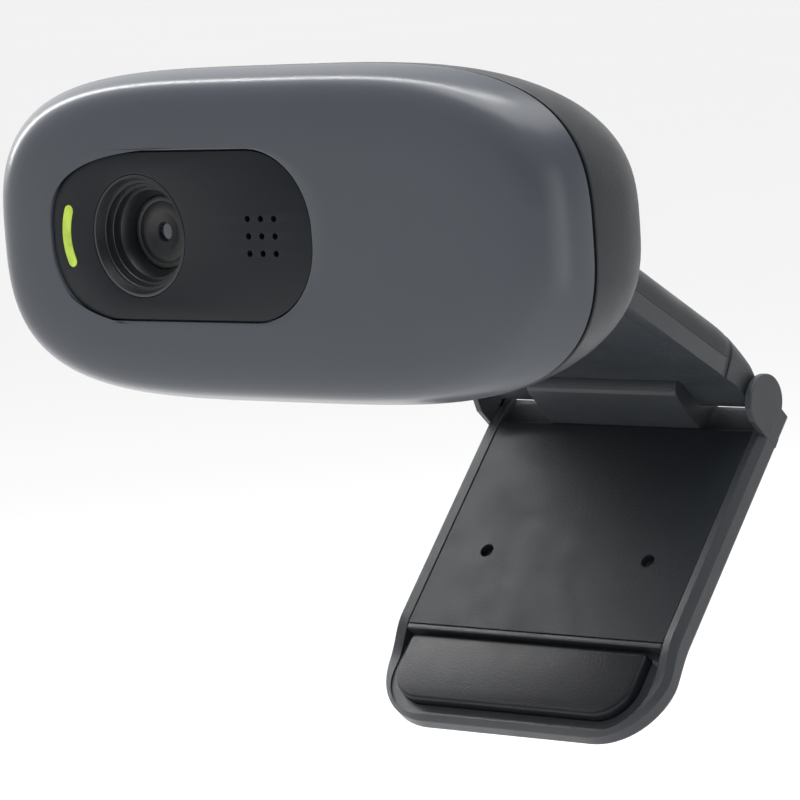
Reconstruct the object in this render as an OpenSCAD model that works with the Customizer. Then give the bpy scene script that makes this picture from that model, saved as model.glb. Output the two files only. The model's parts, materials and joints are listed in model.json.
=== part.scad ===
// Webcam on a folding clip: a wide lozenge head, an arm that rests on the top
// edge of a screen, and a foot that presses on the back of the screen.
// Millimetres, +X to the right as the user sees it, +Y to the back, +Z up.
// The origin is the middle of the arm's underside, the face that rests on the screen.

/* [Head] */
// Width of the head at its parting line
head_w = 72.9; // [71:0.1:75]
// Height of the head at its parting line
head_h = 31.9; // [31:0.1:34]
// Depth of the front cover
front_depth = 4.5; // [4.3:0.1:4.8]
// Depth of the rear cover
rear_depth = 17; // [16.6:0.1:17.2]
// Wall thickness of both covers
wall = 1.6; // [1.5:0.1:1.7]
// Open joint between the two covers
cover_gap = 0.5; // [0.3:0.1:0.6]

/* [Front face] */
// Length of the lens bezel
bezel_w = 33.3; // [32:0.1:34]
// Height of the lens bezel
bezel_h = 16.4; // [15:0.1:17]
// Bezel centre, to the right of the head's centre
bezel_x = -9.35; // [-10:0.05:-9]
// Height of the bezel, lens and microphone above the head's centre
face_z = 0.3; // [0:0.1:0.5]
// Lens axis, to the right of the head's centre
lens_x = -14.6; // [-15:0.1:-14]
// Radius of the lens opening in the bezel
opening_r = 5.9; // [5.5:0.1:6]
// Microphone holes, to the right of the head's centre
mic_x = 1.05; // [0:0.05:2]
// Spacing of the microphone holes
mic_pitch = 1.63; // [1.4:0.01:1.8]
// Radius of a microphone hole
mic_hole_r = 0.32; // [0.2:0.01:0.4]

/* [Arm] */
// Slope of the arm, down towards the back
arm_slope = 30.6; // [26:0.1:34]
// Width of the arm
arm_w = 33.8; // [33:0.1:34]
// Height of the arm's crown above its underside
arm_crown = 6; // [5.8:0.1:6.1]
// Fold hinge behind the middle of the underside
fold_reach = 19.6; // [19.4:0.1:20]
// Tilt hinge ahead of the middle of the underside
tilt_reach = 16; // [15.5:0.1:17]
// Width of the slot between the arm's two ears at either hinge
slot_w = 20.4; // [20:0.1:20.6]

/* [Foot] */
// Lean of the foot from the vertical
foot_lean = 44.1; // [40:0.1:48]
// Width of the foot
foot_w = 35.9; // [35.8:0.1:36.2]
// Fold hinge to the bottom edge of the foot
foot_length = 39.4; // [39.2:0.1:40]
// Radius of the foot's lower corners
foot_corner = 7.5; // [6:0.5:8]
// Width of the rubber pad
pad_w = 30.2; // [28:0.1:31]
// Height of the rubber pad
pad_h = 7.6; // [7:0.1:7.7]

/* [Hinge pins] */
// Radius of the tilt shaft
shaft_r = 1.25; // [1:0.05:1.3]
// Radius of the fold pin
pin_r = 0.8; // [0.7:0.05:0.85]
// Running clearance of a pin, on the radius
running_fit = 0.03; // [0.02:0.01:0.06]

/* [Hidden] */
$fn = 48;
eps = 0.01;

// Outline of the head: a superellipse, flatter along its long sides.
wide_power = 3.8;
tall_power = 2.9;
outline_steps = 48;
// Side of the front cover, from its parting line to its flat face:
// depth, inset at the ends, inset at the top and bottom.
face_curve = [
    [0.25, 0, 0], [1, 0.7, 0.15], [2, 1.6, 0.42], [2.9, 2.6, 0.75], [3.4, 3.3, 1.05], [3.75, 4, 1.4],
    [4, 4.8, 1.85], [4.2, 5.9, 2.6], [4.35, 7.4, 3.8], [4.45, 9, 5.4], [4.5, 10.3, 7.2]
];
// Inside of the same side, and the locating lip of the rear cover, in the same form.
cavity_curve = [[0, 1.75, 1.65], [1.3, 2.65, 1.9], [2.9, 4.4, 2.5]];
lip_inset = [2.8, 2];
lip_t = 0.85;
// The dome of the rear cover would close this far behind its flat back.
dome_spare = 1;
dome_wide_power = 2.95;
dome_tall_power = 1.85;
dome_steps = 8;

// Depths inside the head, measured back from the parting plane.
face_y = -front_depth;
cavity_y = face_y + wall;
bezel_y = face_y + 0.2;
bezel_floor_y = face_y + 1;
barrel_y = -0.8;
board_y = 8;
board_t = 1;
board_w = 50;
board_h = 18;
board_post = [22.5, 6.2];
cover_post_x = 28.5;
screw_seat_y = 5.5;
grommet_x = -20;
grommet_y = rear_depth - 1.2;
bracket_screw_x = 12.2;

// Tilt hinge, from the centre of the head's parting plane.
tilt_y = 22.5;
tilt_z = -2.1;
knuckle_r = 3;
knuckle_w = slot_w - 1.2;

// Arm, in its own frame: Y back along the arm, Z up from its underside.
ear_r = 3.05;
nose_r = 1.85;
nose_at = [fold_reach - 0.1, 1.05];
fold_up = 0.7;
seam_z = 1.9;
slot_back = fold_reach - 4.4;
slot_front = 3.6 - tilt_reach;
arm_screw = [12, -8];
tilt_in_arm = [0, -tilt_reach, ear_r];

// Foot, in its own frame: origin on the fold hinge, Y towards its back, Z up along it.
rim_y = 2.3;
rim_edge_y = 3.15;
panel_y = 2.55;
panel_t = 0.8;
toe_y = 3.65;
foot_back_y = 5.1;
toe_back_y = 5.8;
panel_w = foot_w - 3.3;
crest_w = foot_w - 1;
step_z = -29.4;
panel_low_z = step_z + 0.6;
panel_top_z = -2.95;
peg = [10.35, -19.35];
pad_z = -30.1;
pad_y = 2.55;
pad_floor_y = 4.15;
cheek_at = [0.8, -0.6];
cheek_r = 2.95;
cheek_x = 17.2;
pocket_r = 2.7;

fold_at = [0,
    fold_reach * cos(arm_slope) + fold_up * sin(arm_slope),
    -fold_reach * sin(arm_slope) + fold_up * cos(arm_slope)];
tilt_at = [0,
    tilt_in_arm[1] * cos(arm_slope) + tilt_in_arm[2] * sin(arm_slope),
    -tilt_in_arm[1] * sin(arm_slope) + tilt_in_arm[2] * cos(arm_slope)];
head_at = tilt_at - [0, tilt_y, tilt_z];

// ---- Shared shapes ----

module in_head() { translate(head_at) children(); }
module in_arm() { rotate([-arm_slope, 0, 0]) children(); }
module in_foot() { translate(fold_at) rotate([-foot_lean, 0, 0]) children(); }

// A round rod along Y at x, z, from y0 to y1.
module rod_y(r, y0, y1, x = 0, z = 0) {
    translate([x, y0, z]) rotate([-90, 0, 0]) cylinder(r = r, h = y1 - y0);
}
// A round rod along X on the axis y, z, from x0 to x1.
module rod_x(r, x0, x1, y = 0, z = 0) {
    translate([x0, y, z]) rotate([0, 90, 0]) cylinder(r = r, h = x1 - x0);
}
// A box from one corner to the other.
module block(low, high) {
    translate(low) cube(high - low);
}
// A plane figure in X and Z, extruded from y0 to y1.
module plate_y(y0, y1) {
    translate([0, y1, 0]) rotate([90, 0, 0]) linear_extrude(y1 - y0) children();
}
// A plane figure in Y and Z, extruded from x0 to x1.
module plate_x(x0, x1) {
    translate([x0, 0, 0]) rotate([90, 0, 90]) linear_extrude(x1 - x0) children();
}
module both_sides() {
    children();
    mirror([1, 0, 0]) children();
}

// Points round an arc, from angle a0 to a1.
function arc(centre, r, a0, a1, steps) = [
    for (i = [0 : steps])
        let (a = a0 + (a1 - a0) * i / steps)
        centre + r * [cos(a), sin(a)]
];

// A rectangle with round corners, centred on x, z.
module round_rect(w, h, r, x = 0, z = 0) {
    half = [w / 2 - r, h / 2 - r];
    polygon([for (q = [0 : 3], p = arc(
        [x + (q == 0 || q == 3 ? 1 : -1) * half[0], z + (q < 2 ? 1 : -1) * half[1]],
        r, 90 * q, 90 * q + 90, 10)) p]);
}

// A round-headed screw along Y: its head stands behind the seat at y.
module screw_y(x, y, z, head_r, head_t, shank_r, shank_l) {
    difference() {
        union() {
            rod_y(head_r, y, y + head_t, x, z);
            rod_y(shank_r, y - shank_l, y + eps, x, z);
        }
        for (turn = [0, 90])
            translate([x, y + head_t, z]) rotate([0, turn, 0])
                cube([head_r * 1.3, head_t, head_r * 0.3], center = true);
    }
}

function signed_power(v, p) = sign(v) * pow(abs(v), p);
function outline(w, h, y) = [
    for (i = [0 : outline_steps - 1])
        let (t = 360 * i / outline_steps)
        [w / 2 * signed_power(cos(t), 2 / wide_power), y, h / 2 * signed_power(sin(t), 2 / tall_power)]
];
function dome_size(r, power) = pow(1 - pow(r, power), 1 / power);
// Rings of the rear dome, pulled in by the wall thickness "inset".
function dome_rings(inset, y0, y1) = [
    for (k = [0 : dome_steps])
        let (
            y = y0 + (y1 - y0) * sin(90 * k / dome_steps),
            r = max(y, 0) / (rear_depth + dome_spare - inset)
        )
        outline((head_w - 2 * inset) * dome_size(r, dome_wide_power),
                (head_h - 2 * inset) * dome_size(r, dome_tall_power), y)
];
// Rings of a curve of depths and insets, from its deepest ring back.
function curve_rings(curve) = [
    for (k = [len(curve) - 1 : -1 : 0])
        outline(head_w - 2 * curve[k][1], head_h - 2 * curve[k][2], -curve[k][0] * front_depth / 4.5)
];
function tube_rings(inset, y0, y1) = [
    for (y = [y0, y1]) outline(head_w - 2 * inset[0], head_h - 2 * inset[1], y)
];

// Skins a stack of rings into one closed solid.
module loft(rings) {
    count = len(rings[0]);
    last = len(rings) - 1;
    sides = [
        for (k = [0 : last - 1], i = [0 : count - 1])
            let (a = k * count + i, b = k * count + (i + 1) % count)
            each [[a, b, b + count], [a, b + count, a + count]]
    ];
    front = [for (i = [count - 1 : -1 : 0]) i];
    back = [for (i = [0 : count - 1]) last * count + i];
    polyhedron([for (ring = rings) each ring], concat(sides, [front, back]));
}

module bezel_outline(gap) {
    round_rect(bezel_w - 2 * gap, bezel_h - 2 * gap, bezel_h / 2 - 0.6, bezel_x, face_z);
}

// The slot of the status light: an arc concentric with the left end of the bezel.
module light_arc(gap) {
    arc_r = bezel_h / 2 - 1.9;
    arc_half = 23;
    half_w = 0.6 - gap;
    centre = [bezel_x - bezel_w / 2 + bezel_h / 2, face_z];
    low_end = centre + arc_r * [cos(180 + arc_half), sin(180 + arc_half)];
    high_end = centre + arc_r * [cos(180 - arc_half), sin(180 - arc_half)];
    polygon(concat(
        arc(centre, arc_r + half_w, 180 - arc_half, 180 + arc_half, 8),
        arc(low_end, half_w, 210 + arc_half, 330 + arc_half, 4),
        arc(centre, arc_r - half_w, 180 + arc_half, 180 - arc_half, 8),
        arc(high_end, half_w, 390 - arc_half, 510 - arc_half, 4)
    ));
}
light_stem_x = bezel_x - bezel_w / 2 + 1.9;

module mic_holes(y0, y1) {
    for (col = [-1 : 1], row = [-1 : 1])
        rod_y(mic_hole_r, y0, y1, mic_x + col * mic_pitch, face_z + row * mic_pitch, $fn = 24);
}

// ---- Head ----

module front_cover() {
    color([0.30, 0.32, 0.36]) in_head() difference() {
        union() {
            difference() {
                loft(curve_rings(face_curve));
                loft(curve_rings(cavity_curve));
            }
            for (sx = [-1, 1]) {
                for (sz = [-1, 1])
                    rod_y(1.9, cavity_y - 0.3, board_y, sx * board_post[0], sz * board_post[1]);
                rod_y(2.4, cavity_y - 0.3, 3, sx * cover_post_x);
            }
        }
        plate_y(face_y - 1, bezel_floor_y) bezel_outline(0);
        plate_y(cavity_y - 2, cavity_y + 1) light_arc(0);
        rod_y(opening_r + 0.05, face_y, cavity_y + 1, lens_x, face_z);
        mic_holes(face_y, cavity_y + 1);
        for (sx = [-1, 1]) {
            for (sz = [-1, 1])
                rod_y(0.8, 2, board_y + 1, sx * board_post[0], sz * board_post[1]);
            rod_y(1, screw_seat_y - 7, 4, sx * cover_post_x);
        }
    }
}

module rear_cover() {
    color([0.20, 0.215, 0.235]) in_head() difference() {
        union() {
            difference() {
                loft(dome_rings(0, cover_gap / 2, rear_depth));
                loft(dome_rings(wall, 0, rear_depth - wall));
            }
            intersection() {
                loft(dome_rings(0, cover_gap / 2, rear_depth));
                both_sides() rod_y(2.9, 3.1, rear_depth, cover_post_x);
            }
            difference() {
                union() {
                    loft(tube_rings(lip_inset, -1.2, 0.5));
                    loft(tube_rings([1.2, 1.2], cover_gap / 2, 1.6));
                }
                loft(tube_rings(lip_inset + [lip_t, lip_t], -2, 2));
            }
        }
        both_sides() {
            rod_y(1.95, screw_seat_y, rear_depth + 1, cover_post_x);
            rod_y(1.1, 2, rear_depth, cover_post_x);
            rod_y(1.7, rear_depth - 0.9, rear_depth + 1, bracket_screw_x);
            rod_y(0.85, rear_depth - 4, rear_depth + 1, bracket_screw_x);
        }
        block([-knuckle_w / 2 - 0.1, rear_depth - 4, tilt_z - knuckle_r - 0.1],
              [knuckle_w / 2 + 0.1, rear_depth + 1, tilt_z + knuckle_r + 0.1]);
        rod_y(2.65, grommet_y + 0.4, rear_depth + 1, grommet_x);
        rod_y(2.05, rear_depth - 6, rear_depth + 1, grommet_x);
    }
}

module lens_bezel() {
    color([0.10, 0.11, 0.13]) in_head() difference() {
        plate_y(bezel_y, bezel_floor_y) bezel_outline(0.15);
        rod_y(opening_r, face_y - 1, 0, lens_x, face_z);
        plate_y(face_y - 1, 0) light_arc(0);
        mic_holes(face_y - 1, 0);
    }
}

module led_light_guide() {
    color([0.67, 0.78, 0.24]) in_head() {
        plate_y(bezel_y - 0.05, cavity_y + 0.6) light_arc(0.03);
        rod_y(0.57, cavity_y + 0.5, board_y - 0.9, light_stem_x, face_z);
    }
}

// Stepped funnel round the lens: each pair is a radius and a depth.
module lens_baffle() {
    steps = [
        [opening_r - 0.3, bezel_y], [5.3, -3.55], [5.05, -3.55], [4.9, -2.9], [4.65, -2.9],
        [4.5, -2.2], [4.25, -2.2], [3.6, barrel_y - 0.2]
    ];
    color([0.07, 0.075, 0.085]) in_head() translate([lens_x, 0, face_z]) rotate([-90, 0, 0])
        rotate_extrude() polygon(concat(steps, [
            [3.6, cavity_y + 2.6], [5.2, cavity_y + 2.6], [5.2, cavity_y + 0.8], [6.8, cavity_y + 0.8],
            [6.8, cavity_y], [opening_r - 0.02, cavity_y], [opening_r - 0.02, bezel_y]
        ]));
}

module lens_barrel() {
    color([0.06, 0.065, 0.07]) in_head() difference() {
        union() {
            rod_y(3.55, barrel_y, 1, lens_x, face_z);
            rod_y(3.2, 1 - eps, 5.4, lens_x, face_z);
        }
        rod_y(0.85, barrel_y - 1, 6, lens_x, face_z);
        rod_y(1.6, barrel_y + 0.6, 6, lens_x, face_z);
        rod_y(2.3, 2.6, 6, lens_x, face_z);
    }
}

module front_lens() {
    color([0.25, 0.32, 0.42]) in_head() difference() {
        rod_y(1.58, barrel_y + 0.6, barrel_y + 1.9, lens_x, face_z);
        translate([lens_x, barrel_y + 3.6, face_z]) sphere(r = 2.1);
    }
}

module rear_lens() {
    color([0.35, 0.42, 0.50]) in_head() intersection() {
        rod_y(2.28, 2.6, 4.4, lens_x, face_z);
        translate([lens_x, 0.4, face_z]) sphere(r = 4);
    }
}

module lens_holder() {
    color([0.09, 0.09, 0.10]) in_head() difference() {
        union() {
            block([lens_x - 4.7, 5, face_z - 4.7], [lens_x + 4.7, board_y, face_z + 4.7]);
            rod_y(4.4, 1.6, 5 + eps, lens_x, face_z);
        }
        rod_y(3.2, 1, 5.6, lens_x, face_z);
        block([lens_x - 2.6, 5.6 - eps, face_z - 2.6], [lens_x + 2.6, 6.2, face_z + 2.6]);
        block([lens_x - 3.6, 6.2 - eps, face_z - 3.6], [lens_x + 3.6, board_y + 1, face_z + 3.6]);
    }
}

module ir_filter() {
    color([0.75, 0.35, 0.40]) in_head()
        block([lens_x - 2.55, 5.7, face_z - 2.55], [lens_x + 2.55, 6.05, face_z + 2.55]);
}

module image_sensor() {
    color([0.30, 0.28, 0.34]) in_head()
        block([lens_x - 3, board_y - 0.8, face_z - 2.5], [lens_x + 3, board_y, face_z + 2.5]);
}

module main_board() {
    color([0.10, 0.35, 0.22]) in_head() difference() {
        plate_y(board_y, board_y + board_t) round_rect(board_w, board_h, 2);
        for (sx = [-1, 1], sz = [-1, 1])
            rod_y(1, board_y - 1, board_y + 2, sx * board_post[0], sz * board_post[1]);
    }
}

board_back = board_y + board_t;

module controller_chip() {
    color([0.12, 0.12, 0.13]) in_head() block([-4, board_back, -4], [4, board_back + 0.9, 4]);
}

module flash_chip() {
    color([0.14, 0.14, 0.15]) in_head() block([-14, board_back, -7], [-9, board_back + 1.2, -3]);
}

module clock_crystal() {
    color([0.75, 0.75, 0.77]) in_head() block([7, board_back, 3], [10.2, board_back + 0.8, 5.5]);
}

module voltage_regulators() {
    color([0.15, 0.15, 0.16]) in_head() for (x = [-9, -14])
        block([x - 1.5, board_back, 4], [x + 1.5, board_back + 1.1, 5.7]);
}

module board_capacitors() {
    pitch = 2.4;
    color([0.66, 0.52, 0.36]) in_head() for (i = [0 : 7])
        translate([6 + pitch * (i % 4), board_back, i < 4 ? -1.5 : 7])
            cube([1.6, 0.8, 0.8]);
}

module cable_connector() {
    color([0.90, 0.88, 0.80]) in_head() difference() {
        block([11, board_back, -8], [20, board_back + 3.4, -4]);
        block([11.8, board_back + 0.8, -7.3], [19.2, board_back + 4, -4.7]);
    }
}

module indicator_led() {
    color([0.92, 0.93, 0.85]) in_head()
        block([light_stem_x - 0.8, board_y - 0.8, face_z - 0.6], [light_stem_x + 0.8, board_y, face_z + 0.6]);
}

module microphone() {
    color([0.72, 0.73, 0.75]) in_head() rod_y(3, cavity_y + 0.6, cavity_y + 3.3, mic_x, face_z);
}

module microphone_boot() {
    color([0.08, 0.08, 0.09]) in_head() difference() {
        rod_y(4.1, cavity_y, cavity_y + 3.8, mic_x, face_z);
        rod_y(3, cavity_y + 0.6, cavity_y + 5, mic_x, face_z);
        rod_y(2.5, cavity_y - 1, cavity_y + 1, mic_x, face_z);
    }
}

module board_screws() {
    color([0.70, 0.70, 0.72]) in_head() for (sx = [-1, 1], sz = [-1, 1])
        screw_y(sx * board_post[0], board_back, sz * board_post[1], 1.7, 1, 0.8, 5);
}

module cover_screws() {
    color([0.16, 0.16, 0.17]) in_head() for (sx = [-1, 1])
        screw_y(sx * cover_post_x, screw_seat_y, 0, 1.85, 1.3, 1, 6);
}

module cable_grommet() {
    color([0.07, 0.07, 0.08]) in_head() difference() {
        union() {
            rod_y(2, rear_depth - 3.4, rear_depth + 0.4, grommet_x);
            rod_y(2.6, grommet_y + 0.4, rear_depth + 0.4, grommet_x);
            rod_y(2.6, rear_depth - 3.4, rear_depth - 2.5, grommet_x);
        }
        rod_y(1.5, rear_depth - 5, rear_depth + 2, grommet_x);
    }
}

module tilt_bracket() {
    flange_y = rear_depth - wall;
    color([0.17, 0.18, 0.20]) in_head() difference() {
        union() {
            block([-14.5, flange_y - 1.6, -3.5], [14.5, flange_y, 3.5]);
            block([-knuckle_w / 2, flange_y - 1.6, tilt_z - knuckle_r],
                  [knuckle_w / 2, tilt_y, tilt_z + knuckle_r]);
            rod_x(knuckle_r, -knuckle_w / 2, knuckle_w / 2, tilt_y, tilt_z);
            both_sides() rod_y(2.2, flange_y - 3, flange_y - 1.5, bracket_screw_x);
        }
        rod_x(shaft_r + running_fit, -20, 20, tilt_y, tilt_z);
        both_sides() rod_y(0.8, flange_y - 4, flange_y + 1, bracket_screw_x);
    }
}

module bracket_screws() {
    color([0.16, 0.16, 0.17]) in_head() for (sx = [-1, 1])
        screw_y(sx * bracket_screw_x, rear_depth - 0.9, 0, 1.6, 0.8, 0.8, 3.6);
}

// ---- Arm ----

// Side view of the arm in Y and Z: tilt ear, crown, nose round the fold pin.
module arm_profile() {
    polygon(concat(
        arc([-tilt_reach, ear_r], ear_r, 270, 90, 16),
        [[0, arm_crown], [11, arm_crown], [13, 5.9], [15, 5.5], [17, 4.7], [nose_at[0] - 0.5, 3.5]],
        arc(nose_at, nose_r, 58, -103, 12),
        [[fold_reach - 3.6, 0]]
    ));
}

// Front view in X and Z: upright sides up to the seam, then a boxy crown.
module arm_section(half_w, base_z, top_z) {
    polygon(concat(
        [[half_w, base_z]],
        [for (a = [0 : 7.5 : 180])
            [half_w * signed_power(cos(a), 0.4), seam_z + (top_z - seam_z) * pow(sin(a), 0.667)]],
        [[-half_w, base_z]]
    ));
}

module arm_envelope() {
    intersection() {
        plate_x(-arm_w / 2, arm_w / 2) arm_profile();
        plate_y(-30, 30) arm_section(arm_w / 2, -2, arm_crown + 0.1);
    }
}

module arm_slots() {
    block([-slot_w / 2, slot_back, -5], [slot_w / 2, 30, 8]);
    block([-slot_w / 2, -30, -5], [slot_w / 2, slot_front, 8]);
}

module arm_base() {
    color([0.25, 0.26, 0.28]) in_arm() difference() {
        arm_envelope();
        arm_slots();
        block([-20, slot_front, seam_z], [20, slot_back - 2, 8]);
        rod_x(shaft_r, -20, 20, -tilt_reach, ear_r);
        rod_x(pin_r + running_fit, -20, 20, fold_reach, fold_up);
        both_sides() translate([arm_screw[0], arm_screw[1], -1]) {
            cylinder(r = 0.9, h = 4);
            cylinder(r = 1.8, h = 1.9);
        }
    }
}

module arm_cap() {
    color([0.20, 0.21, 0.225]) in_arm() difference() {
        union() {
            difference() {
                intersection() {
                    arm_envelope();
                    block([-20, slot_front + 0.05, seam_z], [20, slot_back - 2.05, 8]);
                }
                intersection() {
                    plate_y(slot_front + 1.5, slot_back - 3.5)
                        arm_section(arm_w / 2 - 1.5, seam_z - 1, arm_crown - 1.4);
                    block([-20, -30, seam_z - 1], [20, 30, 8]);
                }
            }
            both_sides() translate([arm_screw[0], arm_screw[1], seam_z]) cylinder(r = 2, h = 3);
        }
        both_sides() translate([arm_screw[0], arm_screw[1], 0]) cylinder(r = 0.7, h = 4.4);
    }
}

module arm_screws() {
    color([0.16, 0.16, 0.17]) in_arm() both_sides() translate([arm_screw[0], arm_screw[1], 0]) {
        translate([0, 0, 0.3]) cylinder(r = 1.65, h = 0.6);
        translate([0, 0, 0.8]) cylinder(r = 0.7, h = 3.4);
    }
}

module tilt_shaft() {
    color([0.72, 0.73, 0.75]) in_arm() rod_x(shaft_r, -arm_w / 2 + 0.3, arm_w / 2 - 0.3, -tilt_reach, ear_r);
}

module tilt_washers() {
    color([0.60, 0.61, 0.63]) in_arm() both_sides() difference() {
        rod_x(2.5, knuckle_w / 2 + 0.1, slot_w / 2, -tilt_reach, ear_r);
        rod_x(shaft_r, 0, 20, -tilt_reach, ear_r);
    }
}

// ---- Foot ----

// Front view of the foot in X and Z, with round lower corners.
module foot_outline(top) {
    half = foot_w / 2;
    low = -foot_length;
    polygon(concat(
        [[half, top], [-half, top]],
        arc([foot_corner - half, low + foot_corner], foot_corner, 180, 270, 10),
        arc([half - foot_corner, low + foot_corner], foot_corner, 270, 360, 10)
    ));
}

// Side view of the foot in Y and Z: the rims drop back to the toe, and the toe's back stands out.
module foot_profile() {
    polygon([
        [rim_y, 0.5], [rim_y, -28], [2.4, -29.6], [3.25, -31.3], [toe_y, -32.7], [toe_y, -50],
        [toe_back_y, -50], [toe_back_y, -31.5], [foot_back_y, -30.2], [foot_back_y, 0.5]
    ]);
}

module pad_outline(gap) {
    half = pad_w / 2 + gap;
    corner = 4 + gap;
    low = pad_z - pad_h - gap;
    polygon(concat(
        [[half, pad_z + gap], [-half, pad_z + gap]],
        arc([corner - half, low + corner], corner, 180, 270, 10),
        arc([half - corner, low + corner], corner, 270, 360, 10)
    ));
}

// What is cut from the front: rim slopes, the tray for the panel, the toe below its step.
module foot_front_cuts() {
    half = foot_w / 2;
    both_sides() translate([0, 0, -60]) linear_extrude(70) {
        polygon([[crest_w / 2, 1], [crest_w / 2, rim_y], [half, rim_edge_y], [half + 1, rim_edge_y], [half + 1, 1]]);
        polygon([[panel_w / 2, 1], [panel_w / 2, panel_y], [crest_w / 2, rim_y], [crest_w / 2, 1]]);
    }
    block([-panel_w / 2, 0, panel_low_z], [panel_w / 2, panel_y + panel_t, 5]);
    block([-panel_w / 2, 0, step_z], [panel_w / 2, panel_y, 5]);
    block([-panel_w / 2, 0, -60], [panel_w / 2, toe_y, step_z]);
}

// Clear space for the arm's two ears.
module ear_pockets() {
    both_sides() rod_x(pocket_r, knuckle_w / 2, cheek_x);
}

// Side view of the knuckle in Y and Z: a flat shoulder with a round nose.
module knuckle_profile() {
    polygon(concat(
        [[foot_back_y, -2.85], [0.7, -2.9], [-2.57, -2.75], [-3.42, -2.28], [-3.86, -1.53],
         [-3.2, -0.2], [-1.6, 1.9]],
        arc([0, 0], 2.6, 125, 35, 8),
        [[foot_back_y, 0.4]]
    ));
}

module foot_frame() {
    color([0.24, 0.25, 0.265]) in_foot() difference() {
        union() {
            difference() {
                intersection() {
                    plate_y(0, 8) foot_outline(0.5);
                    plate_x(-foot_w / 2, foot_w / 2) foot_profile();
                }
                foot_front_cuts();
                ear_pockets();
                plate_y(0, pad_floor_y) pad_outline(0);
            }
            both_sides() rod_x(cheek_r, cheek_x, foot_w / 2, cheek_at[0], cheek_at[1]);
            plate_x(-knuckle_w / 2, knuckle_w / 2) knuckle_profile();
            both_sides() rod_y(0.7, panel_y + 0.45, foot_back_y - 0.2, peg[0], peg[1]);
        }
        rod_x(pin_r, -30, foot_w / 2 - 0.3);
    }
}

module foot_panel() {
    color([0.22, 0.23, 0.25]) in_foot() difference() {
        block([-panel_w / 2, panel_y, panel_low_z], [panel_w / 2, panel_y + panel_t, panel_top_z]);
        both_sides() rod_y(0.75, 0, 5, peg[0], peg[1]);
    }
}

module foot_pad() {
    color([0.12, 0.125, 0.14]) in_foot() plate_y(pad_y, pad_floor_y) pad_outline(-0.03);
}

module fold_pin() {
    color([0.75, 0.76, 0.78]) in_foot() rod_x(pin_r, 0.2 - foot_w / 2, foot_w / 2 - 0.3);
}

front_cover();
rear_cover();
lens_bezel();
led_light_guide();
lens_baffle();
lens_barrel();
front_lens();
rear_lens();
lens_holder();
ir_filter();
image_sensor();
main_board();
controller_chip();
flash_chip();
clock_crystal();
voltage_regulators();
board_capacitors();
cable_connector();
indicator_led();
microphone();
microphone_boot();
board_screws();
cover_screws();
cable_grommet();
tilt_bracket();
bracket_screws();
arm_base();
arm_cap();
arm_screws();
tilt_shaft();
tilt_washers();
foot_frame();
foot_panel();
foot_pad();
fold_pin();
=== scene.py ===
"""Webcam on a folding screen clip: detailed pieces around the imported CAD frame.

Local lengths are millimetres. Each group has its own frame, as in the CAD source:
the head from the centre of its parting plane, the arm from the middle of its
underside, the foot from the fold hinge.
"""
import json
import math

import bmesh
import bpy
from mathutils import Matrix, Vector


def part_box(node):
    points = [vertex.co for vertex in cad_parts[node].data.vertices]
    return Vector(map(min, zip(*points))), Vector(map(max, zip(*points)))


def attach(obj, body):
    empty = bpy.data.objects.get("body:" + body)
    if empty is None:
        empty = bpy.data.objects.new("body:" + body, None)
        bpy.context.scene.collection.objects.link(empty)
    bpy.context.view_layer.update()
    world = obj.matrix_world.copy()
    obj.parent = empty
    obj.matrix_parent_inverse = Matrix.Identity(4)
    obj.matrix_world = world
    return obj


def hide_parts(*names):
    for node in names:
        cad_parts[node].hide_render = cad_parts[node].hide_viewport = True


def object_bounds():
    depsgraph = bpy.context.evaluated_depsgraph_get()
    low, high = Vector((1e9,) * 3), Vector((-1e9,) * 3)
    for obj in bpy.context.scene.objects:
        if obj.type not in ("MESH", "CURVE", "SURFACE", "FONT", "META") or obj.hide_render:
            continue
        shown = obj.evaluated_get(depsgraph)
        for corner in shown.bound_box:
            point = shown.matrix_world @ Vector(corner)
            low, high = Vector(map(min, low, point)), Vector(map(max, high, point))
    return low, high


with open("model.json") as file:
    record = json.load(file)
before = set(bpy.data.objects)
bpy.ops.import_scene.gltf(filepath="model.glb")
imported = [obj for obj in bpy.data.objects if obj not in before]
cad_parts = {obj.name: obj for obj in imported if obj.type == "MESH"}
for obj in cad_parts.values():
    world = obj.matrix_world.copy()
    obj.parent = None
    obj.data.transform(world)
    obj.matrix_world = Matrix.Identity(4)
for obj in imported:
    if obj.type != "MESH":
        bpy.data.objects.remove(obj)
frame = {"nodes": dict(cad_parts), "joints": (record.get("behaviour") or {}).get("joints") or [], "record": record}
CAD_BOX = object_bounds()

MM = 0.001
RING = 128
# Points closer than this are one point; coinciding faces are set apart by this.
MERGE = 2e-4
PROUD = 0.03

# ---- Sizes, repeated from the CAD source ----

HEAD_W = 72.9
HEAD_H = 31.9
FRONT_DEPTH = 4.5
REAR_DEPTH = 17.0
WALL = 1.6
# Side of the front cover: depth, inset at the ends, inset at the top and bottom.
FACE_CURVE = [
    (0.25, 0, 0), (1, 0.7, 0.15), (2, 1.6, 0.42), (2.9, 2.6, 0.75), (3.4, 3.3, 1.05), (3.75, 4, 1.4),
    (4, 4.8, 1.85), (4.2, 5.9, 2.6), (4.35, 7.4, 3.8), (4.45, 9, 5.4), (4.5, 10.3, 7.2),
]
CAVITY_CURVE = [(2.9, 4.4, 2.5), (1.3, 2.65, 1.9), (0.25, 1.95, 1.7)]
LIP_INSET = (2.8, 2.0)
LIP_T = 0.85
COVER_GAP = 0.5
WIDE_POWER = 3.8
TALL_POWER = 2.9
DOME_WIDE_POWER = 2.95
DOME_TALL_POWER = 1.85
DOME_SPARE = 1.0

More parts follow.
